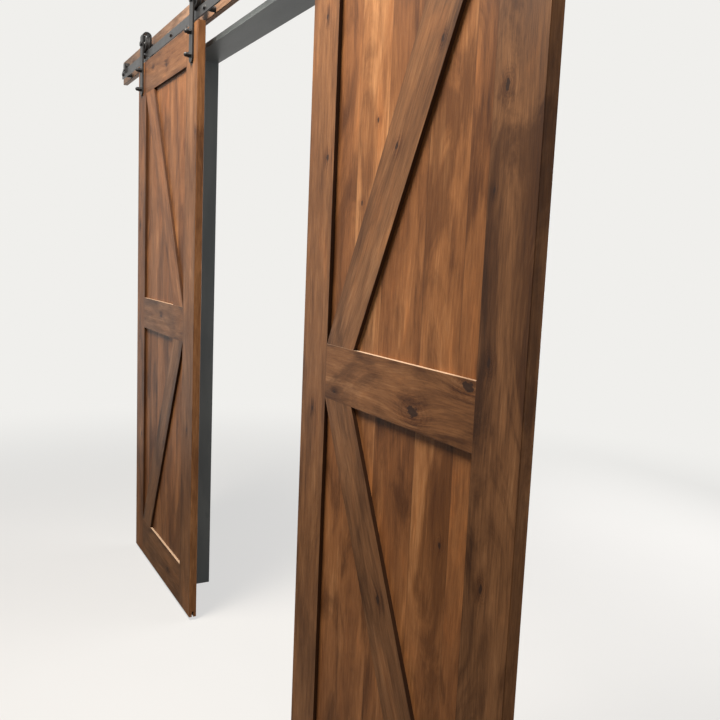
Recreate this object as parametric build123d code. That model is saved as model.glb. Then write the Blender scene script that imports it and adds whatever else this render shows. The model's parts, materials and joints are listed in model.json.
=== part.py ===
from build123d import *
import os
from math import sqrt

os.makedirs("parts", exist_ok=True)

# Pair of sliding leaves on one wall rail, with the board behind it and the lined doorway.
# Millimetres. X runs along the wall, Y into the wall, Z up.
# The origin is the middle of the header board's back face, where it meets the wall.

# Leaf boards
leaf_width = 838.0
leaf_height = 2134.0
leaf_thickness = 27.0
outer_stile_width = 127.0
inner_stile_width = 132.0
top_rail_height = 131.0
mid_rail_height = 129.0
mid_rail_lift = 1019.0
bottom_rail_height = 159.0
brace_width = 117.0
edge_ease = 1.5

# Panels in their grooves
panel_thickness = 9.0
panel_groove_depth = 12.0
panel_end_gap = 2.0
panel_slip = 0.1
tenon_end_gap = 0.5

# Where the leaves stand and how far they run
leaf_stand_in = 308.5
open_reveal = 2.0

# Doorway lining
doorway_width = 1540.0
doorway_depth = 110.0
lining_thickness = 18.0
lining_housing = 9.0
lining_drop = 58.0
floor_gap = 12.0

# Header board
header_height = 106.0
header_thickness = 19.0
header_lift = 20.0
header_tail = 152.4

# Rail, its spacers and bolts
rail_height = 35.0
rail_thickness = 6.0
rail_lift = 15.0
rail_ease = 1.0
rail_tail = 60.0
spacer_length = 33.0
spacer_radius = 10.0
rail_bolt_radius = 4.0
rail_bolt_pitch = 406.4
rail_bolt_end_space = 25.4
rail_bolt_head_flats = 14.0
rail_bolt_head_height = 6.0
rail_bolt_flange_radius = 9.5
rail_bolt_flange_height = 1.5
header_skin = 1.5

# Hangers
strap_width = 40.0
strap_thickness = 6.0
strap_drop = 131.0
strap_bolt_drops = (27.0, 105.0)
strap_tail = 20.0
strap_corner = 19.5

# Wheels and bearings
tread_radius = 30.0
flange_depth = 5.0
wheel_thickness = 20.0
groove_taper = 1.4
wheel_face_recess = 3.0
wheel_rim = 8.0
wheel_hub_wall = 2.5
wheel_ease = 1.2
wheel_arch_gap = 2.5
bearing_radius = 13.0
bearing_width = 8.0
bearing_shield_radius = 11.0
bearing_sleeve_radius = 8.0
bearing_shield_recess = 0.6

# Clearances
rolling_gap = 0.3
groove_side_gap = 0.6
axle_running_gap = 0.05
press_gap = 0.02
bearing_end_gap = 0.2
bolt_hole_gap = 0.25
nut_thread_gap = 0.1
pilot_gap = 0.05

# Leaf bolts, cap nuts and axles
bolt_radius = 5.0
bolt_head_flats = 17.0
bolt_head_height = 6.4
cap_nut_flats = 17.0
cap_nut_hex_height = 10.0
cap_nut_height = 24.0
cap_nut_dome_radius = 8.0
cap_nut_bore_depth = 16.0
bolt_end_gap = 1.0
axle_nut_flats = 16.0
axle_nut_height = 8.0
axle_tip = 1.5

# Small screws
point_radius = 0.6
disc_screw_head_radius = 4.5
disc_screw_radius = 2.0
disc_screw_length = 30.0
guide_screw_head_radius = 4.0
guide_screw_radius = 2.0
guide_screw_length = 25.0

# Discs that stop the leaf from jumping off its rail
disc_radius = 16.0
disc_thickness = 11.0
disc_offset = 75.0
disc_ease = 1.0

# End stops
stop_length = 28.0
stop_depth = 22.0
stop_rise = 22.0
stop_bite = 18.0
stop_ease = 2.0
stop_clearance = 0.5
bumper_radius = 8.0
bumper_length = 8.0
bumper_lift = 12.0
bumper_ease = 1.5
stop_screw_radius = 3.0
stop_screw_spacing = 14.0
stop_screw_head_radius = 4.5
stop_screw_head_height = 3.0
stop_screw_socket_flats = 4.0
stop_screw_socket_depth = 1.5
stop_screw_lift = 9.0

# Floor guides
guide_thickness = 5.0
guide_groove_gap = 0.8
guide_bend = 7.0
guide_width = 48.0
guide_inset = 2.0
guide_tongue_inset = 8.0
guide_height = 60.0
guide_engagement = 15.0
guide_groove_depth = 20.0
guide_screw_lifts = (22.0, 46.0)

# Heights and planes that follow from the sizes above
leaf_top = -header_height / 2 - header_lift
leaf_bottom = leaf_top - leaf_height
floor_level = leaf_bottom - floor_gap
rail_bottom = leaf_top + rail_lift
rail_top = rail_bottom + rail_height
rail_middle = (rail_bottom + rail_top) / 2
rail_back = -header_thickness - spacer_length
rail_front = rail_back - rail_thickness
rail_plane = (rail_front + rail_back) / 2
rail_bolt_reach = -rail_front - header_skin
leaf_front = rail_plane - leaf_thickness / 2
leaf_back = rail_plane + leaf_thickness / 2
panel_front = rail_plane - panel_thickness / 2
panel_back = rail_plane + panel_thickness / 2
groove_front = panel_front - panel_slip
groove_back = panel_back + panel_slip

# Heights of the wheels and of the bumpers they meet
flange_radius = tread_radius + flange_depth
axle_height = rail_top + rolling_gap + tread_radius
bumper_height = rail_top + bumper_lift
wheel_reach = sqrt(flange_radius**2 - (axle_height - bumper_height - bumper_radius) ** 2)

# Places along the wall, for the right-hand side
leaf_inner = doorway_width / 2 - leaf_stand_in
leaf_outer = leaf_inner + leaf_width
field_inner = leaf_inner + inner_stile_width
field_outer = leaf_outer - outer_stile_width
inner_hanger_x = leaf_inner + inner_stile_width / 2
outer_hanger_x = leaf_outer - outer_stile_width / 2
open_travel = leaf_stand_in + open_reveal
stop_inner = outer_hanger_x + open_travel + wheel_reach + stop_clearance + bumper_length
stop_outer = stop_inner + stop_length
rail_end = stop_outer + rail_tail
header_end = rail_end + header_tail

# Heights in the leaf
mid_rail_bottom = leaf_bottom + mid_rail_lift
mid_rail_top = mid_rail_bottom + mid_rail_height
bottom_rail_top = leaf_bottom + bottom_rail_height
top_rail_bottom = leaf_top - top_rail_height

# Folds of the hangers
leg_front = leaf_front - strap_thickness
strap_fold_radius = leaf_thickness / 2
arch_spring = (
    axle_height
    + flange_radius
    + wheel_arch_gap
    - sqrt(strap_fold_radius**2 - (wheel_thickness / 2) ** 2)
)

# Lining heights
soffit = leaf_top - lining_drop
lining_top = soffit + lining_thickness


def span(x_range, y_range, z_range):
    """A board between two corners."""
    size = [high - low for low, high in (x_range, y_range, z_range)]
    corner = Pos(x_range[0], y_range[0], z_range[0])
    return corner * Box(*size, align=(Align.MIN, Align.MIN, Align.MIN))


def facing_out(x, y, z):
    """A plane whose normal points away from the wall."""
    return Plane(origin=(x, y, z), x_dir=(1, 0, 0), z_dir=(0, -1, 0))


def facing_wall(x, y, z):
    """A plane whose normal points into the wall."""
    return Plane(origin=(x, y, z), x_dir=(1, 0, 0), z_dir=(0, 1, 0))


def left(shape):
    """The same piece on the left-hand side."""
    return mirror(shape, about=Plane.YZ)


def both(shapes):
    """Right-hand pieces and their left-hand copies, as one group."""
    return Compound([*shapes, *(left(shape) for shape in shapes)])


def hole(x, z, y_front, y_back, radius):
    """A round cutter along Y."""
    return facing_wall(x, y_front, z) * Cylinder(
        radius, y_back - y_front, align=(Align.CENTER, Align.CENTER, Align.MIN)
    )


def rod(radius, low, high):
    """A round bar on the Z axis from low to high."""
    bar = Cylinder(radius, high - low, align=(Align.CENTER, Align.CENTER, Align.MIN))
    return Pos(0, 0, low) * bar


def hexagon(flats, height):
    """A hexagonal prism standing on the XY plane."""
    return extrude(RegularPolygon(flats / 2, 6, major_radius=False), height)


# Leaf


def guide_groove():
    """Cutter for the groove in the leaf's bottom edge."""
    half = guide_thickness / 2 + guide_groove_gap
    return span(
        (leaf_inner, leaf_outer),
        (rail_plane - half, rail_plane + half),
        (leaf_bottom, leaf_bottom + guide_groove_depth),
    )


def stile(x_low, x_high, groove_low, hanger_x):
    """An upright board, grooved along its inner edge, eased along its outer one."""
    width = x_high - x_low
    section = Pos((x_low + x_high) / 2, rail_plane) * Rectangle(width, leaf_thickness)
    outer_side = -1 if groove_low > x_low else 0
    outer_corners = section.vertices().group_by(Axis.X)[0 if outer_side else -1]
    section = chamfer(outer_corners, edge_ease)
    board = extrude(Pos(0, 0, leaf_bottom) * section, leaf_height)
    board -= span(
        (groove_low, groove_low + panel_groove_depth),
        (groove_front, groove_back),
        (leaf_bottom, leaf_top),
    )
    board -= guide_groove()
    for drop in strap_bolt_drops:
        board -= hole(hanger_x, leaf_top - drop, leaf_front, leaf_back, bolt_radius + bolt_hole_gap)
    return board


def cross_rail(z_low, z_high, groove_below, groove_above):
    """A level board with stub tenons and panel grooves."""
    board = span((field_inner, field_outer), (leaf_front, leaf_back), (z_low, z_high))
    tenon_length = panel_groove_depth - tenon_end_gap
    tenon_low = z_low + (panel_groove_depth if groove_below else 0)
    tenon_high = z_high - (panel_groove_depth if groove_above else 0)
    board += span(
        (field_inner - tenon_length, field_outer + tenon_length),
        (groove_front, groove_back),
        (tenon_low, tenon_high),
    )
    if groove_below:
        board -= span((field_inner, field_outer), (groove_front, groove_back), (z_low, tenon_low))
    if groove_above:
        board -= span((field_inner, field_outer), (groove_front, groove_back), (tenon_high, z_high))
    return board


def panel(z_low, z_high):
    """A flat panel that sits in the grooves all round."""
    reach = panel_groove_depth - panel_end_gap
    return span(
        (field_inner - reach, field_outer + reach),
        (panel_front, panel_back),
        (z_low - reach, z_high + reach),
    )


def brace_seat(field_height):
    """Length of the brace's level end, for a brace of the stated width corner to corner."""
    field_width = field_outer - field_inner
    square = brace_width**2
    lean = field_height**2 - square
    root = sqrt((field_width * square) ** 2 + lean * square * (field_width**2 + field_height**2))
    return (root - field_width * square) / lean


def brace(z_inner, z_outer):
    """A slanted board on the panel, from the inner stile's corner to the outer one's."""
    seat = brace_seat(abs(z_outer - z_inner))
    outline = Polyline(
        (field_inner, z_inner),
        (field_inner + seat, z_inner),
        (field_outer, z_outer),
        (field_outer - seat, z_outer),
        close=True,
    )
    face = Plane(origin=(0, panel_front, 0), x_dir=(1, 0, 0), z_dir=(0, -1, 0)) * make_face(outline)
    return extrude(face, panel_front - leaf_front)


def leaf_boards():
    """The nine boards of the right-hand leaf."""
    inner_groove = field_inner - panel_groove_depth
    bottom_rail = cross_rail(leaf_bottom, bottom_rail_top, False, True) - guide_groove()
    top_rail = cross_rail(top_rail_bottom, leaf_top, True, False)
    for x in disc_places():
        depth = disc_screw_length - disc_thickness
        top_rail -= Pos(x, rail_plane, leaf_top) * rod(disc_screw_radius + pilot_gap, -depth, 0)
    return {
        "outer_stile": stile(field_outer, leaf_outer, field_outer, outer_hanger_x),
        "inner_stile": stile(leaf_inner, field_inner, inner_groove, inner_hanger_x),
        "top_rail": top_rail,
        "mid_rail": cross_rail(mid_rail_bottom, mid_rail_top, True, True),
        "bottom_rail": bottom_rail,
        "upper_panel": panel(mid_rail_top, top_rail_bottom),
        "lower_panel": panel(bottom_rail_top, mid_rail_bottom),
        "upper_brace": brace(mid_rail_top, top_rail_bottom),
        "lower_brace": brace(mid_rail_bottom, bottom_rail_top),
    }


# Hangers


def hanger(x):
    """A flat bar folded over the wheel, with its long leg down the face of the leaf."""
    long_end = leaf_top - strap_drop
    short_end = axle_height - strap_tail
    front_line = leaf_front - strap_thickness / 2
    back_line = leaf_back + strap_thickness / 2
    side_view = Plane(origin=(x - strap_width / 2, 0, 0), x_dir=(0, 1, 0), z_dir=(1, 0, 0))
    top = (rail_plane, arch_spring + strap_fold_radius + strap_thickness / 2)
    fold = ThreePointArc((front_line, arch_spring), top, (back_line, arch_spring))
    centre_line = [
        Line((front_line, long_end), (front_line, arch_spring)),
        fold,
        Line((back_line, arch_spring), (back_line, short_end)),
    ]
    section = trace(centre_line, strap_thickness)
    bar = extrude(side_view * section, strap_width)
    ends = bar.edges().filter_by(Axis.Y).group_by(Axis.Z)
    bar = fillet([*ends[0], *ends[1]], strap_corner)
    bar -= hole(x, axle_height, leg_front, leaf_back + strap_thickness, bolt_radius + bolt_hole_gap)
    for drop in strap_bolt_drops:
        bar -= hole(x, leaf_top - drop, leg_front, leaf_front, bolt_radius + bolt_hole_gap)
    return bar


def hanger_bolt(x, drop):
    """A bolt from the back of the leaf, with its end in the cap nut."""
    end = leg_front - cap_nut_bore_depth + bolt_end_gap
    shank = rod(bolt_radius, 0, leaf_back - end)
    head = Pos(0, 0, -bolt_head_height) * hexagon(bolt_head_flats, bolt_head_height)
    return facing_out(x, leaf_back, leaf_top - drop) * (shank + head)


def cap_nut(x, drop):
    """A long domed nut on the strap's face."""
    body = hexagon(cap_nut_flats, cap_nut_hex_height)
    neck_top = cap_nut_height - cap_nut_dome_radius
    body += rod(cap_nut_dome_radius, 0, neck_top)
    body += Pos(0, 0, neck_top) * Sphere(cap_nut_dome_radius)
    body &= rod(cap_nut_flats, 0, cap_nut_height)
    body -= rod(bolt_radius + nut_thread_gap, 0, cap_nut_bore_depth)
    return facing_out(x, leg_front, leaf_top - drop) * body


def axle_bolt(x):
    """The wheel's axle, through both legs of the hanger."""
    nut_face = leaf_back + strap_thickness + axle_nut_height
    shank = rod(bolt_radius, 0, nut_face + axle_tip - leg_front)
    head = Pos(0, 0, -bolt_head_height) * hexagon(bolt_head_flats, bolt_head_height)
    return facing_wall(x, leg_front, axle_height) * (shank + head)


def axle_nut(x):
    """The lock nut behind the short leg."""
    body = hexagon(axle_nut_flats, axle_nut_height)
    body -= rod(bolt_radius + nut_thread_gap, 0, axle_nut_height)
    return facing_wall(x, leaf_back + strap_thickness, axle_height) * body


def wheel(x):
    """A grooved wheel that rides on the rail's top edge."""
    half = wheel_thickness / 2
    groove = rail_thickness / 2 + groove_side_gap
    mouth = groove + groove_taper
    hub = bearing_radius + wheel_hub_wall
    rim = tread_radius - wheel_rim / 2
    web = half - wheel_face_recess
    bore = bearing_radius + press_gap
    profile = Polyline(
        (bore, -half),
        (hub, -half),
        (hub + wheel_ease, -web),
        (rim - wheel_ease, -web),
        (rim, -half),
        (flange_radius - wheel_ease, -half),
        (flange_radius, -half + wheel_ease),
        (flange_radius, -mouth),
        (tread_radius, -groove),
        (tread_radius, groove),
        (flange_radius, mouth),
        (flange_radius, half - wheel_ease),
        (flange_radius - wheel_ease, half),
        (rim, half),
        (rim - wheel_ease, web),
        (hub + wheel_ease, web),
        (hub, half),
        (bore, half),
        close=True,
    )
    solid = revolve(Plane.XZ * make_face(profile), Axis.Z)
    return facing_wall(x, rail_plane, axle_height) * solid


def bearing(x):
    """The sealed bearing in the wheel, with an inner sleeve as long as the gap it turns in."""
    half = bearing_width / 2
    shield = half - bearing_shield_recess
    sleeve = leaf_thickness / 2 - bearing_end_gap
    bore = bolt_radius + axle_running_gap
    profile = Polyline(
        (bore, -sleeve),
        (bearing_sleeve_radius, -sleeve),
        (bearing_sleeve_radius, -shield),
        (bearing_shield_radius, -shield),
        (bearing_shield_radius, -half),
        (bearing_radius, -half),
        (bearing_radius, half),
        (bearing_shield_radius, half),
        (bearing_shield_radius, shield),
        (bearing_sleeve_radius, shield),
        (bearing_sleeve_radius, sleeve),
        (bore, sleeve),
        close=True,
    )
    solid = revolve(Plane.XZ * make_face(profile), Axis.Z)
    return facing_wall(x, rail_plane, axle_height) * solid


def point(radius, low):
    """The tapered end of a screw, as long as the shank's radius."""
    taper = Cone(radius, point_radius, radius, align=(Align.CENTER, Align.CENTER, Align.MIN))
    return Pos(0, 0, low) * taper


def countersunk_screw(head_radius, shank_radius, length):
    """A flat-headed screw pointing up Z, its head's face on the XY plane."""
    taper = head_radius - shank_radius
    head = Cone(head_radius, shank_radius, taper, align=(Align.CENTER, Align.CENTER, Align.MIN))
    shank_end = length - shank_radius
    return head + rod(shank_radius, taper, shank_end) + point(shank_radius, shank_end)


def countersink(head_radius, shank_radius, depth):
    """Cutter for a flat-headed screw's hole, going up Z from its face."""
    taper = head_radius - shank_radius
    sink = Cone(head_radius, shank_radius, taper, align=(Align.CENTER, Align.CENTER, Align.MIN))
    return sink + rod(shank_radius + pilot_gap, 0, depth)


def disc_places():
    """Where the two discs stand on the leaf's top edge."""
    return [inner_hanger_x + disc_offset, outer_hanger_x - disc_offset]


def jump_disc(x):
    """A disc on the leaf's top edge, close under the rail."""
    body = Cylinder(disc_radius, disc_thickness, align=(Align.CENTER, Align.CENTER, Align.MIN))
    body = chamfer(body.edges().group_by(Axis.Z)[-1], disc_ease)
    sink = countersink(disc_screw_head_radius, disc_screw_radius, disc_thickness)
    body -= Pos(0, 0, disc_thickness) * Rot(180, 0, 0) * sink
    return Pos(x, rail_plane, leaf_top) * body


def disc_screw(x):
    """The screw that holds a disc down."""
    screw = countersunk_screw(disc_screw_head_radius, disc_screw_radius, disc_screw_length)
    return Pos(x, rail_plane, leaf_top + disc_thickness) * Rot(180, 0, 0) * screw


# Rail, header board and doorway


def rail_bolt_places():
    """From beside the middle joint to the rail's end, evenly and as near the studs as that allows."""
    run = rail_end - 2 * rail_bolt_end_space
    spaces = round(run / rail_bolt_pitch)
    return [rail_bolt_end_space + run * step / spaces for step in range(spaces + 1)]


def rail():
    """The right-hand half of the flat rail."""
    section = Plane.YZ * Pos(rail_plane, rail_middle) * Rectangle(rail_thickness, rail_height)
    section = fillet(section.vertices(), rail_ease)
    bar = extrude(section, rail_end)
    for x in rail_bolt_places():
        bar -= hole(x, rail_middle, rail_front, rail_back, rail_bolt_radius + bolt_hole_gap)
    return bar


def rail_spacer(x):
    """A tube between the rail and the header board."""
    body = rod(spacer_radius, 0, spacer_length) - rod(rail_bolt_radius + bolt_hole_gap, 0, spacer_length)
    return facing_wall(x, rail_back, rail_middle) * body


def rail_bolt(x):
    """A flanged hexagon-headed bolt through rail and spacer, which ends inside the board."""
    flange = rod(rail_bolt_flange_radius, -rail_bolt_flange_height, 0)
    head = Pos(0, 0, -rail_bolt_head_height) * hexagon(rail_bolt_head_flats, rail_bolt_head_height)
    shank_end = rail_bolt_reach - rail_bolt_radius
    shank = rod(rail_bolt_radius, 0, shank_end) + point(rail_bolt_radius, shank_end)
    return facing_wall(x, rail_front, rail_middle) * (flange + head + shank)


def header_board():
    """The board behind the rail, with its edges eased and its holes bored."""
    board = span(
        (-header_end, header_end), (-header_thickness, 0), (-header_height / 2, header_height / 2)
    )
    board = chamfer(board.faces().sort_by(Axis.Y)[0].edges(), edge_ease)
    bolt_end = rail_front + rail_bolt_reach
    for place in rail_bolt_places():
        for x in (place, -place):
            board -= hole(x, rail_middle, -header_thickness, bolt_end, rail_bolt_radius + pilot_gap)
    return board


def end_stop():
    """A block clamped over the rail's top edge."""
    low = rail_top - stop_bite
    high = rail_top + stop_rise
    section = Plane.YZ * Pos(rail_plane, (low + high) / 2) * Rectangle(stop_depth, high - low)
    section = fillet(section.vertices(), stop_ease)
    block = extrude(Pos(stop_inner, 0, 0) * section, stop_length)
    block -= span((stop_inner, stop_outer), (rail_front, rail_back), (low, rail_top))
    for x in stop_screw_places():
        block -= hole(x, stop_screw_height(), rail_plane - stop_depth / 2, rail_front, stop_screw_radius)
    return block


def stop_screw_places():
    """The two screws of a stop, along the rail."""
    middle = (stop_inner + stop_outer) / 2
    return [middle - stop_screw_spacing / 2, middle + stop_screw_spacing / 2]


def stop_screw_height():
    """The height at which the stop's screws press on the rail."""
    return rail_top - stop_bite + stop_screw_lift


def stop_screw(x):
    """A socket-headed screw that presses on the rail's face."""
    face = rail_plane - stop_depth / 2
    head = rod(stop_screw_head_radius, -stop_screw_head_height, 0)
    socket = hexagon(stop_screw_socket_flats, stop_screw_socket_depth)
    shank = rod(stop_screw_radius - pilot_gap, 0, rail_front - face)
    screw = head - Pos(0, 0, -stop_screw_head_height) * socket + shank
    return facing_wall(x, face, stop_screw_height()) * screw


def stop_bumper():
    """A rubber button that meets the wheel."""
    button = rod(bumper_radius, 0, bumper_length)
    button = fillet(button.edges().group_by(Axis.Z)[-1], bumper_ease)
    seat = Plane(origin=(stop_inner, rail_plane, bumper_height), x_dir=(0, 1, 0), z_dir=(-1, 0, 0))
    return seat * button


def side_lining():
    """The upright of the doorway's lining, housed at its top for the head."""
    inner = doorway_width / 2
    board = span(
        (inner, inner + lining_thickness), (0, doorway_depth), (floor_level, lining_top)
    )
    inner_edges = board.edges().filter_by(Axis.Z).group_by(Axis.X)[0]
    board = chamfer(inner_edges, edge_ease)
    board -= span((inner, inner + lining_housing), (0, doorway_depth), (soffit, lining_top))
    for lift in guide_screw_lifts:
        board -= guide_screw_place(lift) * rod(guide_screw_radius + pilot_gap, 0, guide_screw_length)
    return board


def head_lining():
    """The head of the doorway's lining, held in the uprights' housings."""
    reach = doorway_width / 2 + lining_housing
    return span((-reach, reach), (0, doorway_depth), (soffit, lining_top))


def floor_guide():
    """A folded plate on the lining's front edge, whose lip runs in the leaf's groove."""
    wall_line = -guide_thickness / 2
    low_line = floor_level + guide_thickness / 2
    path = FilletPolyline(
        (wall_line, floor_level + guide_height),
        (wall_line, low_line),
        (rail_plane, low_line),
        (rail_plane, leaf_bottom + guide_engagement),
        radius=guide_bend,
    )
    start = doorway_width / 2 + guide_inset
    side_view = Plane(origin=(start, 0, 0), x_dir=(0, 1, 0), z_dir=(1, 0, 0))
    plate = extrude(side_view * trace(path, guide_thickness), guide_width)
    plate -= span(
        (start, start + guide_tongue_inset),
        (rail_plane - guide_thickness, rail_plane + guide_thickness + guide_bend),
        (floor_level, leaf_bottom + guide_engagement),
    )
    sink = countersink(guide_screw_head_radius, guide_screw_radius, guide_thickness)
    for lift in guide_screw_lifts:
        plate -= guide_screw_place(lift) * sink
    return plate


def guide_screw_place(lift):
    """Where a guide's screw goes in, at the middle of the lining's edge."""
    return facing_wall(doorway_width / 2 + lining_thickness / 2, -guide_thickness, floor_level + lift)


def guide_screw(lift):
    """A screw through the guide into the lining's edge."""
    screw = countersunk_screw(guide_screw_head_radius, guide_screw_radius, guide_screw_length)
    return guide_screw_place(lift) * screw


# Building and writing


def leaf_nodes():
    """Every named piece of the right-hand leaf and its hangers."""
    hangers = {"inner": inner_hanger_x, "outer": outer_hanger_x}
    places = [(x, drop) for x in hangers.values() for drop in strap_bolt_drops]
    nodes = leaf_boards()
    for name, x in hangers.items():
        nodes[f"{name}_hanger"] = hanger(x)
        nodes[f"{name}_wheel"] = wheel(x)
        nodes[f"{name}_bearing"] = bearing(x)
    nodes["hanger_bolts"] = Compound([hanger_bolt(*place) for place in places])
    nodes["cap_nuts"] = Compound([cap_nut(*place) for place in places])
    nodes["axle_bolts"] = Compound([axle_bolt(x) for x in hangers.values()])
    nodes["axle_nuts"] = Compound([axle_nut(x) for x in hangers.values()])
    nodes["anti_jump_discs"] = Compound([jump_disc(x) for x in disc_places()])
    nodes["disc_screws"] = Compound([disc_screw(x) for x in disc_places()])
    return nodes


def frame_nodes():
    """Every named piece that stays on the wall."""
    bolts = rail_bolt_places()
    right_pieces = {
        "rail": rail(),
        "end_stop": end_stop(),
        "side_lining": side_lining(),
        "floor_guide": floor_guide(),
    }
    nodes = {
        "header_board": header_board(),
        "head_lining": head_lining(),
        "rail_spacers": both([rail_spacer(x) for x in bolts]),
        "rail_bolts": both([rail_bolt(x) for x in bolts]),
        "stop_screws": both([stop_screw(x) for x in stop_screw_places()]),
        "stop_bumpers": both([stop_bumper()]),
        "guide_screws": both([guide_screw(lift) for lift in guide_screw_lifts]),
    }
    for name, piece in right_pieces.items():
        nodes[f"right_{name}"] = piece
        nodes[f"left_{name}"] = left(piece)
    return nodes


def all_nodes():
    """The whole object, node by node."""
    nodes = frame_nodes()
    for name, piece in leaf_nodes().items():
        nodes[f"right_{name}"] = piece
        nodes[f"left_{name}"] = left(piece)
    return nodes


for node_name, node_shape in all_nodes().items():
    export_step(node_shape, f"parts/{node_name}.step")
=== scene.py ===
import json
import math

import bpy
from mathutils import Matrix, Vector


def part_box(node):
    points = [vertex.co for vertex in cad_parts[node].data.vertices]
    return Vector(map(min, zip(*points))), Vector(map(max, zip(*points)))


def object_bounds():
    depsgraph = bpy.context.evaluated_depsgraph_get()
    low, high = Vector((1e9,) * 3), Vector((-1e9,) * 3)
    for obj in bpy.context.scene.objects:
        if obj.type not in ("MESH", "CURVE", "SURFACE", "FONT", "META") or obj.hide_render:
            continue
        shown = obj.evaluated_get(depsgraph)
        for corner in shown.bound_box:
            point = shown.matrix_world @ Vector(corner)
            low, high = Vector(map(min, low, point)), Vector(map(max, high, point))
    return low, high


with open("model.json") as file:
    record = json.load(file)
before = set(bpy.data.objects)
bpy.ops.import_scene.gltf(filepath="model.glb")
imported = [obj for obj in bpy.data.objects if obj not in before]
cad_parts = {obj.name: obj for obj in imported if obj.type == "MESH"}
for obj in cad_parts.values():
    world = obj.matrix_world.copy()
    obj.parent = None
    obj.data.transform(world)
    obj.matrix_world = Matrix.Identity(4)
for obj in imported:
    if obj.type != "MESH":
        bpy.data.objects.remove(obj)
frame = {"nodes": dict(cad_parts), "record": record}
cad_low, cad_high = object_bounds()


# Colours, numbers and nodes


def screen_color(red, green, blue):
    """A colour given as it shows on a screen, 0 to 255, turned into light."""
    shades = [channel / 255 for channel in (red, green, blue)]
    light = [s / 12.92 if s <= 0.04045 else ((s + 0.055) / 1.055) ** 2.4 for s in shades]
    return (*light, 1.0)


class Value:
    """What comes out of a node. Numbers can be added, multiplied and so on."""

    def __init__(self, finish, socket):
        self.finish = finish
        self.socket = socket

    def maths(self, operation, *terms):
        return self.finish.node("ShaderNodeMath", {"operation": operation}, dict(enumerate(terms)))

    def __add__(self, other):
        return self.maths("ADD", self, other)

    def __radd__(self, other):
        return self.maths("ADD", other, self)

    def __sub__(self, other):
        return self.maths("SUBTRACT", self, other)

    def __rsub__(self, other):
        return self.maths("SUBTRACT", other, self)

    def __mul__(self, other):
        return self.maths("MULTIPLY", self, other)

    def __rmul__(self, other):
        return self.maths("MULTIPLY", other, self)

    def __truediv__(self, other):
        return self.maths("DIVIDE", self, other)

    def __rtruediv__(self, other):
        return self.maths("DIVIDE", other, self)

    def __pow__(self, other):
        return self.maths("POWER", self, other)

    def __rpow__(self, other):
        return self.maths("POWER", other, self)

    def __neg__(self):
        return self.maths("MULTIPLY", self, -1.0)

    def __abs__(self):
        return self.maths("ABSOLUTE", self)

    def over(self, limit):
        """1 where the value is above the limit, else 0."""
        return self.maths("GREATER_THAN", self, limit)

    def most(self, other):
        return self.maths("MAXIMUM", self, other)

    def root(self):
        return self.maths("SQRT", self)

    def sine(self):
        return self.maths("SINE", self)

    def rise(self, low, high, start=0.0, end=1.0):
        """Goes smoothly from start to end as the value goes from low to high."""
        sockets = {0: self, 1: low, 2: high, 3: start, 4: end}
        return self.finish.node("ShaderNodeMapRange", {"interpolation_type": "SMOOTHSTEP"}, sockets)


class Finish:
    """A material, or the surroundings, made node by node."""

    def __init__(self, name, world=False):
        self.made = bpy.data.worlds.new(name) if world else bpy.data.materials.new(name)
        self.made.use_nodes = True
        self.nodes = self.made.node_tree.nodes
        self.links = self.made.node_tree.links
        self.nodes.clear()

    def node(self, kind, settings=None, sockets=None, out=0):
        """Adds a node, sets it up, fills its sockets and gives back one of its outputs."""
        made = self.nodes.new(kind)
        for key, setting in (settings or {}).items():
            if key == "stops":
                self.set_stops(made.color_ramp, setting)
            else:
                setattr(made, key, setting)
        for key, value in (sockets or {}).items():
            if isinstance(value, Value):
                self.links.new(value.socket, made.inputs[key])
            else:
                made.inputs[key].default_value = value
        return Value(self, made.outputs[out]) if made.outputs else None

    @staticmethod
    def set_stops(ramp, stops):
        while len(ramp.elements) < len(stops):
            ramp.elements.new(0.5)
        for element, (place, color) in zip(ramp.elements, stops):
            element.position = place
            element.color = color

    def place(self):
        """The point's x, y and z in the part's own frame, in metres."""
        where = self.node("ShaderNodeTexCoord", out=3)
        return [self.node("ShaderNodeSeparateXYZ", {}, {0: where}, out=axis) for axis in range(3)]

    def vector(self, first, second, third):
        return self.node("ShaderNodeCombineXYZ", {}, {0: first, 1: second, 2: third})

    def noise(self, where, detail=2.0, roughness=0.5, distortion=0.0):
        sockets = {
            "Vector": where,
            "Scale": 1.0,
            "Detail": detail,
            "Roughness": roughness,
            "Distortion": distortion,
        }
        return self.node("ShaderNodeTexNoise", {}, sockets)

    def ramp(self, value, stops):
        return self.node("ShaderNodeValToRGB", {"stops": stops}, {0: value})

    def mix(self, share, first, second, blend="MIX"):
        settings = {"data_type": "RGBA", "blend_type": blend}
        return self.node("ShaderNodeMix", settings, {0: share, 6: first, 7: second}, out=2)

    def tinted(self, share, color, tint):
        """Multiplies a colour by a tint, as far as the share goes."""
        return self.mix(share, color, self.mix(1.0, color, (*tint, 1.0), "MULTIPLY"))

    def bump(self, height, distance, strength=1.0):
        sockets = {"Strength": strength, "Distance": distance, "Height": height}
        return self.node("ShaderNodeBump", {}, sockets)

    def surface(self, **sockets):
        """Ends the material in a Principled shader with these sockets."""
        named = {name.replace("_", " "): value for name, value in sockets.items()}
        shader = self.node("ShaderNodeBsdfPrincipled", {}, named)
        self.node("ShaderNodeOutputMaterial", {}, {"Surface": shader})
        return self.made

    def backdrop_rays(self):
        """1 for rays from the camera, for those off gloss and for those through clear stuff."""
        return [self.node("ShaderNodeLightPath", out=number) for number in (0, 3, 6)]


# Timber


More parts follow.
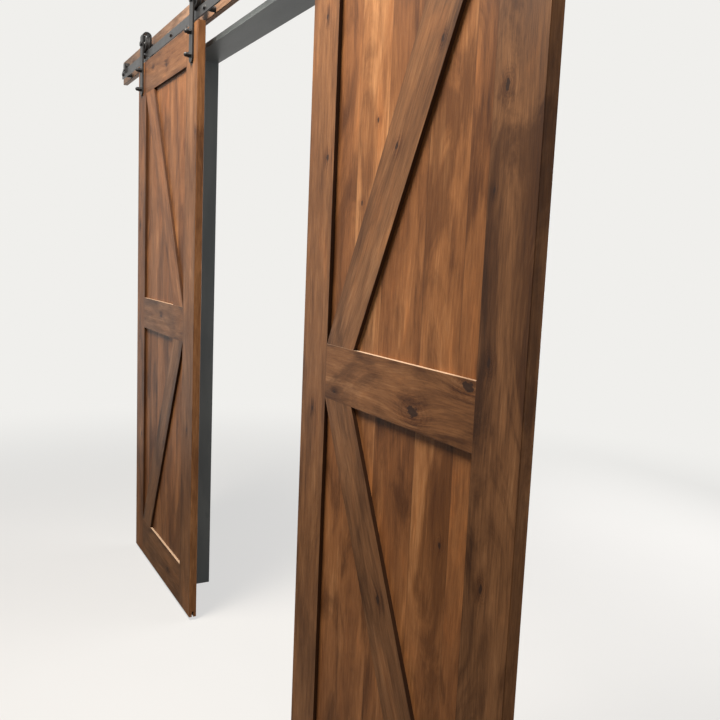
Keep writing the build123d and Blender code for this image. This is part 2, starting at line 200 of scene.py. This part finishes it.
class Board:
    """A board's own directions: along its grain and across it."""

    def __init__(self, node, tilt, width=None):
        low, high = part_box(node)
        self.middle = (low + high) / 2
        self.tilt = tilt
        self.width = width or min((high - low).x, (high - low).z)

    def turn(self, x, z):
        """A point of the wall's plane, as far along and across the board from its middle."""
        right, up = x - self.middle.x, z - self.middle.z
        along = right * math.cos(self.tilt) + up * math.sin(self.tilt)
        across = up * math.cos(self.tilt) - right * math.sin(self.tilt)
        return along, across

    def side_face(self, across, skin=0.0007):
        """1 on the narrow faces at the board's sides, and 0 from a thin skin inwards."""
        half_width = self.width / 2
        return across.rise(half_width - skin, half_width - hair)


upright = math.pi / 2
level = 0.0
brace_width = 0.117

# How far from a board's side it is darker, partly with pooled stain and partly with painted shade of
# the corners, and the width that counts as nothing
stain_and_shade_reach = 0.03
hair = 0.0001


def brace_tilt(node, falls):
    """The slope of a brace that runs from corner to corner of its field."""
    low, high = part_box(node)

    # The cut end takes up some of the field's width, by an amount that hangs on the slope
    seat = brace_width
    for _ in range(12):
        tilt = math.atan2(high.z - low.z, high.x - low.x - seat)
        seat = brace_width / math.sin(tilt)
    return math.pi - tilt if falls else tilt


def drawn_out(finish, flow, along, deep, per_metre, stretch, seed, detail=2.0, roughness=0.55):
    """Noise that is drawn out along the grain."""
    where = finish.vector(
        flow * per_metre + seed, along * (per_metre / stretch) + seed * 1.7, deep * per_metre
    )
    return finish.noise(where, detail, roughness)


class Knots:
    """The knots of one board: how the grain swells round them and how dark they are."""

    def __init__(self, finish, board, places, along, across, deep, seed):
        self.swell = 0.0
        self.core = 0.0
        self.halo = 0.0
        self.rings = 0.0
        for knot_x, knot_z, radius in places:
            knot_along, knot_across = board.turn(knot_x, knot_z)
            off_along = along - knot_along
            off_across = across - knot_across
            reach = (off_along / (radius * 6.0)) ** 2.0 + (off_across / (radius * 2.4)) ** 2.0
            self.swell = (math.e ** -reach) * (radius * 1.6) + self.swell

            # How many radii out, for a knot that is longer along the grain and ragged
            ragged = drawn_out(finish, off_across, off_along, deep, 120.0, 1.8, seed + knot_x, 3.0)
            span = ((off_along * 0.66) ** 2.0 + off_across**2.0).root() / radius
            span = span + (ragged - 0.5) * 1.9
            near = span.rise(1.2, 4.6, 1.0, 0.0)
            self.core = span.rise(0.7, 1.05, 1.0, 0.0) + self.core
            self.halo = near + self.halo
            self.rings = (span * 9.0).sine() * near + self.rings


# How far apart two staves' figures lie in the noise, and half the width of the line between
# them, where it is full and where it ends
stave_jump = 3.7
line_full, line_end = 0.0005, 0.0016


def glued_staves(x, staves):
    """What changes from stave to stave: the figure, the shade and the thin line between two."""
    figure, shade, joint = 0.0, 0.0, 0.0
    last_shade = 0.0
    for edge, stave_shade in staves:
        beyond = x.over(edge)
        figure = beyond * stave_jump + figure
        shade = beyond * (stave_shade - last_shade) + shade
        joint = abs(x - edge).rise(line_full, line_end, 1.0, 0.0) + joint
        last_shade = stave_shade
    return figure, shade, joint


# Colours in the timber, tints that its stain takes on, and the painted shade and painted highlight of
# some side faces
pore_brown = screen_color(52, 34, 23)
joint_brown = screen_color(58, 37, 24)
# Painted shade for side faces in a recess, and a painted highlight for ledges that face up
painted_recess_shade = screen_color(40, 24, 15)
painted_ledge_highlight = screen_color(190, 163, 138)
knot_brown = screen_color(36, 21, 14)
blotch_and_edge_shade_tint = (0.34, 0.29, 0.24)
glow_tint = (1.5, 1.4, 1.26)
worn_tint = (1.6, 1.6, 1.6)
halo_tint = (0.42, 0.33, 0.27)


def timber(name, board, tones, knots, staves, seed, blotch, painted_shade_sides=(), painted_highlight_sides=()):
    """Stained knotty timber, with its grain along the board and bent round each knot.

    Sides are +1 or -1, across the board. The first list of sides gets painted shade, as a recess
    would throw, and the second a painted highlight, as light from above catches a ledge.
    """
    finish = Finish(name)
    x, y, z = finish.place()
    along, across = board.turn(x, z)
    deep = y - board.middle.y
    figure, shade, joint = glued_staves(x, staves)

    # The grain wanders a little and swells round the knots
    where = finish.vector(across * 2.6 + seed * 3.1, along * 1.1 + figure, deep * 2.6 + seed)
    flow = across + (finish.noise(where, 2.0, 0.5) - 0.5) * 0.07
    knot = Knots(finish, board, knots, along, across, deep, seed)
    flow = flow + knot.swell + figure

    # From broad figure to fine fibre, softer in the panels
    grain = (finish, flow, along, deep)
    broad = drawn_out(*grain, per_metre=11.0, stretch=4.5, seed=seed, detail=3.0)
    bands = drawn_out(*grain, per_metre=70.0, stretch=16.0, seed=seed + 4.0, detail=4.0, roughness=0.6)
    fibre = drawn_out(*grain, per_metre=280.0, stretch=18.0, seed=seed + 9.0, detail=4.0, roughness=0.7)
    pores = drawn_out(*grain, per_metre=1500.0, stretch=34.0, seed=seed + 13.0, detail=1.0)
    arches = (broad * 46.0 + bands * 5.0).sine()
    streaks = 0.65 if staves else 0.85
    tone = 0.5 + (broad - 0.5) * 0.7 + (bands - 0.5) * (0.6 * streaks)
    tone = tone + (fibre - 0.5) * (0.8 * streaks)
    tone = tone + arches * 0.03 + knot.rings * 0.07 + shade
    tone = tone + (bands - 0.5) * knot.halo * 1.3
    color = finish.ramp(tone, tones)

    # The stain took unevenly: in soft clouds and darker in patches. Along the edges it is darker too,
    # partly pooled stain and partly painted shade of the corners
    where = finish.vector(across * 9.0 + seed * 5.3, along * 2.6 + figure, deep * 9.0 - seed)
    clouds = finish.noise(where, detail=6.0, roughness=0.62, distortion=1.1)
    near_edge = abs(across).rise(board.width / 2 - stain_and_shade_reach, board.width / 2)
    edge_face = board.side_face(abs(across))
    blotch_and_edge_shade = clouds.rise(0.46, 0.64) * blotch + (near_edge - edge_face) * clouds * 0.5
    color = finish.tinted(blotch_and_edge_shade, color, blotch_and_edge_shade_tint)
    color = finish.tinted(clouds.rise(0.30, 0.46, 1.0, 0.0) * 0.6, color, glow_tint)
    color = finish.mix(pores.rise(0.58, 0.74) * 0.3, color, pore_brown)
    if staves:
        color = finish.mix(joint * 0.35, color, joint_brown)

    # The side faces: rubbed here and there, with painted shade on the sides that face into a recess and
    # a painted highlight on ledges that face up
    color = finish.tinted(edge_face * clouds.rise(0.42, 0.54) * 0.6, color, worn_tint)
    for side in painted_shade_sides:
        color = finish.mix(board.side_face(across * side, 0.0009) * 0.85, color, painted_recess_shade)
    for side in painted_highlight_sides:
        color = finish.mix(board.side_face(across * side) * 0.8, color, painted_ledge_highlight)

    color = finish.tinted(knot.halo * 0.6, color, halo_tint)
    color = finish.mix(knot.core * 0.9, color, knot_brown)
    height = fibre * 0.5 + pores.rise(0.5, 0.75, 1.0, 0.0) * 0.5
    return finish.surface(
        Base_Color=color,
        Roughness=tone.rise(0.1, 0.9, 0.48, 0.38),
        Specular_IOR_Level=0.12,
        Normal=finish.bump(height, 0.0003, 0.45),
    )


def stain_tones(*colors):
    """The stain's colours, from the darkest grain to the lightest."""
    return list(zip((0.15, 0.38, 0.6, 0.85), [screen_color(*color) for color in colors]))


panel_tones = stain_tones((74, 44, 24), (106, 66, 37), (133, 87, 51), (170, 121, 79))
stile_tones = stain_tones((64, 41, 25), (91, 60, 37), (114, 78, 50), (143, 104, 71))
rail_tones = stain_tones((68, 42, 25), (97, 63, 38), (121, 82, 51), (151, 110, 76))
header_tones = stain_tones((80, 58, 44), (108, 82, 64), (130, 101, 80), (156, 125, 101))


# Knots, as far along the wall from the middle and above the leaf's foot, and their radius

knots_of = {
    "right_inner_stile": [(0.534, 1.904, 0.005), (0.561, 1.582, 0.006), (0.525, 0.980, 0.005)],
    "right_outer_stile": [
        (1.208, 1.639, 0.007),
        (1.190, 1.472, 0.004),
        (1.204, 1.184, 0.006),
        (1.221, 0.788, 0.006),
    ],
    "right_upper_panel": [(0.776, 1.641, 0.004), (0.720, 1.472, 0.004)],
    "right_lower_panel": [(1.079, 0.818, 0.005)],
    "right_upper_brace": [(1.013, 1.754, 0.005), (0.869, 1.577, 0.006)],
    "right_lower_brace": [(0.880, 0.628, 0.007)],
    "right_mid_rail": [(0.975, 1.056, 0.013), (1.150, 1.134, 0.011), (0.640, 1.040, 0.004)],
    "right_top_rail": [(0.760, 2.060, 0.006)],
    "right_bottom_rail": [(0.930, 0.085, 0.008)],
    "left_inner_stile": [(-0.478, 1.766, 0.006), (-0.530, 0.700, 0.006)],
    "left_outer_stile": [(-1.256, 1.460, 0.006), (-1.210, 0.540, 0.007)],
    "left_upper_panel": [(-0.620, 1.734, 0.008)],
    "left_lower_panel": [(-0.800, 0.760, 0.006)],
    "left_upper_brace": [(-0.677, 1.339, 0.007)],
    "left_lower_brace": [(-0.850, 0.580, 0.006)],
    "left_mid_rail": [(-0.900, 1.090, 0.007)],
    "left_top_rail": [(-0.860, 2.060, 0.008), (-1.060, 2.090, 0.005)],
    "left_bottom_rail": [(-0.760, 0.080, 0.007)],
}
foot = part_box("right_outer_stile")[0].z

# Where one stave of a panel ends and the next begins, from the wall's middle outwards, and, from
# left to right, how much lighter or darker each further stave is than the panel's leftmost one

stave_edges = [0.694, 0.820, 0.977, 1.106]
stave_shades = {
    "right_upper_panel": [0.20, 0.0, 0.05, -0.04],
    "right_lower_panel": [0.03, -0.06, 0.12, 0.0],
    "left_upper_panel": [0.05, -0.06, 0.04, -0.03],
    "left_lower_panel": [-0.07, 0.04, -0.03, 0.05],
}

outwards = {"right": 1, "left": -1}

# Each leaf's grain starts elsewhere in the noise, so that the two differ
grain_start = {"right": 0.0, "left": 31.0}

# The right leaf's outer boards are darker and more blotched than the left one's
outer_tones = {"right": stile_tones, "left": panel_tones}
outer_blotch = {"right": 0.45, "left": 0.3}


def dress(node, material):
    """Gives a carried-over piece its finish."""
    slots = frame["nodes"][node].data.materials
    slots.clear()
    slots.append(material)


def leaf_board(side, piece, tilt, width, tones, seed, blotch, painted_shade_sides, painted_highlight_sides):
    """Gives one board of a leaf its timber."""
    node = f"{side}_{piece}"
    board = Board(node, tilt, width)
    knots = [(knot_x, knot_z + foot, radius) for knot_x, knot_z, radius in knots_of[node]]
    staves = []
    if node in stave_shades:
        edges = sorted(outwards[side] * edge for edge in stave_edges)
        staves = list(zip(edges, stave_shades[node]))
    seed = seed + grain_start[side]
    name = f"{node}_timber"
    dress(node, timber(name, board, tones, knots, staves, seed, blotch, painted_shade_sides, painted_highlight_sides))


def dress_leaf(side):
    """Gives all boards of a leaf their timber."""
    out = outwards[side]
    falls = side == "left"
    outer, patches = outer_tones[side], outer_blotch[side]
    upper_tilt = brace_tilt(f"{side}_upper_brace", falls)
    lower_tilt = brace_tilt(f"{side}_lower_brace", not falls)

    # Piece, lie, width, tones, seed, blotches, sides with painted shade and sides with painted
    # highlight
    boards = [
        ("outer_stile", upright, None, outer, 2.0, patches + 0.4, (out,), ()),
        ("inner_stile", upright, None, rail_tones, 5.5, 0.5, (-out,), ()),
        ("top_rail", level, None, rail_tones, 8.1, patches, (-1,), ()),
        ("mid_rail", level, None, rail_tones, 11.7, 0.7, (-1,), (1,)),
        ("bottom_rail", level, None, rail_tones, 14.2, 0.6, (), (1,)),
        ("upper_panel", upright, None, panel_tones, 17.9, 0.75, (), ()),
        ("lower_panel", upright, None, panel_tones, 20.3, 0.8, (), ()),
        ("upper_brace", upper_tilt, brace_width, outer, 23.6, patches + 0.25, (1, -1), ()),
        ("lower_brace", lower_tilt, brace_width, stile_tones, 26.4, 0.7, (1, -1), ()),
    ]
    for board in boards:
        leaf_board(side, *board)


# The header board's knots, as far along and above the part's origin, and their radius
header_knots = [
    (-1.62, 0.015, 0.006),
    (-1.05, -0.026, 0.007),
    (-0.42, 0.028, 0.005),
    (0.30, -0.010, 0.007),
    (0.92, 0.024, 0.006),
    (1.48, -0.018, 0.007),
]


def header_timber():
    board = Board("header_board", level)
    return timber("header_timber", board, header_tones, header_knots, (), seed=40.0, blotch=0.7)


dress_leaf("right")
dress_leaf("left")
dress("header_board", header_timber())


# Paint, steel and rubber


def lining_paint():
    """Satin grey-blue paint over timber, with the brush's faint strokes."""
    finish = Finish("lining_paint")
    x, y, z = finish.place()
    strokes = finish.noise(finish.vector(x * 420.0, y * 420.0, z * 9.0), 3.0, 0.6)
    clouds = finish.noise(finish.vector(x * 3.0, y * 12.0, z * 3.0), 3.0, 0.5)
    marks = finish.noise(finish.vector(x * 38.0, y * 38.0, z * 21.0), 2.0, 0.5)
    # Both greys are darker than the paint's own colour, holding painted shade of the doorway
    color = finish.mix(clouds.rise(0.3, 0.7), screen_color(80, 85, 87), screen_color(93, 98, 99))
    color = finish.mix(marks.rise(0.66, 0.76) * 0.25, color, screen_color(62, 68, 70))
    return finish.surface(
        Base_Color=color,
        Roughness=strokes.rise(0.3, 0.7, 0.36, 0.46),
        Specular_IOR_Level=0.25,
        Normal=finish.bump(strokes, 0.00025, 0.45),
    )


def black_coat(name, color, rough, wear=0.0, gloss=0.6):
    """Powder-coated steel: a fine orange-peel skin with a little dust and handling."""
    finish = Finish(name)
    x, y, z = finish.place()
    peel = finish.noise(finish.vector(x * 900.0, y * 900.0, z * 900.0), 2.0, 0.5)
    dust = finish.noise(finish.vector(x * 24.0, y * 24.0, z * 24.0), 4.0, 0.6)
    rubbed = finish.noise(finish.vector(x * 160.0, y * 160.0, z * 60.0), 3.0, 0.6)
    dusty = dust.rise(0.42, 0.72) * 0.24
    shade = finish.mix(dusty, screen_color(*color), screen_color(58, 56, 54))
    shade = finish.mix(rubbed.rise(0.6, 0.74) * wear, shade, screen_color(120, 116, 110))
    return finish.surface(
        Base_Color=shade,
        Metallic=0.0,
        Roughness=dust.rise(0.3, 0.75, rough + 0.02, rough + 0.1),
        Specular_IOR_Level=gloss,
        Normal=finish.bump(peel, 0.0001, 0.4),
    )


def bearing_steel():
    """Ground steel, with fine scratches."""
    finish = Finish("bearing_steel")
    x, y, z = finish.place()
    scratches = finish.noise(finish.vector(x * 1400.0, y * 90.0, z * 1400.0), 2.0, 0.6)
    return finish.surface(
        Base_Color=finish.mix(scratches, screen_color(150, 150, 152), screen_color(186, 186, 188)),
        Metallic=1.0,
        Roughness=scratches.rise(0.3, 0.7, 0.28, 0.44),
        Normal=finish.bump(scratches, 0.00005, 0.3),
    )


def moulded_black(name, rough):
    """Nylon or rubber, with a fine moulded grain."""
    finish = Finish(name)
    x, y, z = finish.place()
    grain = finish.noise(finish.vector(x * 1300.0, y * 1300.0, z * 1300.0), 2.0, 0.6)
    return finish.surface(
        Base_Color=finish.mix(grain, screen_color(28, 28, 29), screen_color(44, 43, 43)),
        Roughness=grain.rise(0.3, 0.7, rough - 0.05, rough + 0.07),
        Normal=finish.bump(grain, 0.0001, 0.6),
    )


finish_of_slot = {
    "black_steel": black_coat("black_steel", (26, 26, 28), rough=0.3),
    "wheel_black": black_coat("wheel_black", (30, 30, 31), rough=0.34, wear=0.3),
    "black_nylon": moulded_black("black_nylon", rough=0.45),
    "black_rubber": moulded_black("black_rubber", rough=0.7),
    "bearing_steel": bearing_steel(),
    "lining_paint": lining_paint(),
}
for row in frame["record"]["subparts"]:
    if row["material_slot"] in finish_of_slot:
        dress(row["node"], finish_of_slot[row["material_slot"]])

# The rails, hangers and cap nuts have a black of their own
rail_steel = black_coat("rail_black_steel", (27, 27, 28), rough=0.3, wear=0.05)
hanger_steel = black_coat("hanger_black_steel", (24, 24, 25), rough=0.32, wear=0.05, gloss=0.35)
cap_steel = black_coat("cap_nut_black", (20, 20, 22), rough=0.42, gloss=0.35)
for side in ("left", "right"):
    dress(f"{side}_rail", rail_steel)
    dress(f"{side}_cap_nuts", cap_steel)
    for place in ("inner", "outer"):
        dress(f"{side}_{place}_hanger", hanger_steel)


# Floor and backdrop


backdrop_color = screen_color(240, 239, 236)
near_floor_light = (0.59, 0.59, 0.585, 1.0)
floor_reach = 14.0


def pale_floor():
    """A pale floor that goes over into the backdrop further out, without a line.

    The camera sees it pale, and so do reflections where it is far off. What it throws back onto
    the doors is less bright.
    """
    finish = Finish("pale_floor")
    x, y, z = finish.place()
    clouds = finish.noise(finish.vector(x * 1.5, y * 1.5, z), 3.0, 0.5)
    near = finish.mix(clouds, screen_color(110, 108, 106), screen_color(117, 115, 113))
    far = (x**2.0 + y**2.0).root().rise(1.6, 4.8)
    seen = {
        "Base Color": finish.mix(far, near, (0.0, 0.0, 0.0, 1.0)),
        "Roughness": 0.8,
        "Specular IOR Level": 0.0,
        "Emission Color": finish.mix(far, near_floor_light, backdrop_color),
        "Emission Strength": 1.0,
    }
    thrown = {
        "Base Color": finish.mix(clouds, screen_color(104, 99, 92), screen_color(112, 107, 100)),
        "Roughness": 0.8,
    }
    camera_ray, glossy_ray, clear_ray = finish.backdrop_rays()
    sides = {
        0: camera_ray.most(glossy_ray.most(clear_ray) * far),
        1: finish.node("ShaderNodeBsdfPrincipled", {}, thrown),
        2: finish.node("ShaderNodeBsdfPrincipled", {}, seen),
    }
    either = finish.node("ShaderNodeMixShader", {}, sides)
    finish.node("ShaderNodeOutputMaterial", {}, {"Surface": either})
    return finish.made


def pale_surroundings():
    """Pale to the camera and in reflections, and a plain even light on the object."""
    finish = Finish("studio", world=True)
    camera_ray, glossy_ray, clear_ray = finish.backdrop_rays()
    even_light = {"Color": screen_color(255, 252, 247), "Strength": 0.11}
    sides = {
        0: camera_ray.most(glossy_ray).most(clear_ray),
        1: finish.node("ShaderNodeBackground", {}, even_light),
        2: finish.node("ShaderNodeBackground", {}, {"Color": backdrop_color}),
    }
    either = finish.node("ShaderNodeMixShader", {}, sides)
    finish.node("ShaderNodeOutputWorld", {}, {"Surface": either})
    return finish.made


floor_mesh = bpy.data.meshes.new("floor")
corners = [(-floor_reach, -floor_reach), (floor_reach, -floor_reach)]
corners += [(floor_reach, floor_reach), (-floor_reach, floor_reach)]
floor_mesh.from_pydata([(x, y, cad_low.z) for x, y in corners], [], [(0, 1, 2, 3)])
floor_mesh.materials.append(pale_floor())
floor = bpy.data.objects.new("floor", floor_mesh)
bpy.context.scene.collection.objects.link(floor)
bpy.context.scene.world = pale_surroundings()


# Lamps


def lamp(name, place, target, size, power, color=(1.0, 1.0, 1.0)):
    """A soft rectangular lamp that faces its target. Its power is in watts."""
    data = bpy.data.lights.new(name, "AREA")
    data.shape = "RECTANGLE"
    data.size, data.size_y = size
    data.energy = power
    data.color = color
    made = bpy.data.objects.new(name, data)
    made.location = place
    made.rotation_mode = "QUATERNION"
    made.rotation_quaternion = (Vector(target) - Vector(place)).to_track_quat("-Z", "Y")
    bpy.context.scene.collection.objects.link(made)


lamp("high_key", (-0.1, -1.0, 1.25), (0.6, -0.06, -0.9), (1.3, 0.8), 205.0, (1.0, 0.94, 0.85))
lamp("ceiling", (0.4, -0.9, 0.95), (0.5, -0.06, -0.6), (1.6, 0.6), 8.0, (1.0, 0.95, 0.88))
lamp("right_fill", (3.4, -0.4, -0.3), (1.3, 0.0, -0.9), (1.2, 1.6), 17.0, (1.0, 0.96, 0.91))
lamp("back_fill", (0.0, 3.4, -0.8), (0.0, 0.0, -1.0), (3.4, 1.4), 130.0)


# Camera


# It stands to the right of the doorway, close to the wall and 1.36 m above the floor
camera_place = Vector((2.2437, -0.9019, -0.8595))
camera_yaw = -1.0598
camera_pitch = -0.12675
camera_roll = 0.04268
picture_width = 720
focal_pixels = 781.6

forward = Vector(
    (
        math.sin(camera_yaw) * math.cos(camera_pitch),
        math.cos(camera_yaw) * math.cos(camera_pitch),
        math.sin(camera_pitch),
    )
)
flat_right = forward.cross(Vector((0, 0, 1))).normalized()
flat_up = flat_right.cross(forward)
right = flat_right * math.cos(camera_roll) + flat_up * math.sin(camera_roll)
up = flat_up * math.cos(camera_roll) - flat_right * math.sin(camera_roll)
camera_data = bpy.data.cameras.new("camera")
camera_data.sensor_width = 36.0
camera_data.lens = camera_data.sensor_width * focal_pixels / picture_width
camera = bpy.data.objects.new("camera", camera_data)
turned = Matrix((right, up, -forward)).transposed().to_4x4()
camera.matrix_world = Matrix.Translation(camera_place) @ turned
bpy.context.scene.collection.objects.link(camera)
bpy.context.scene.camera = camera
bpy.context.scene.view_settings.view_transform = "Standard"
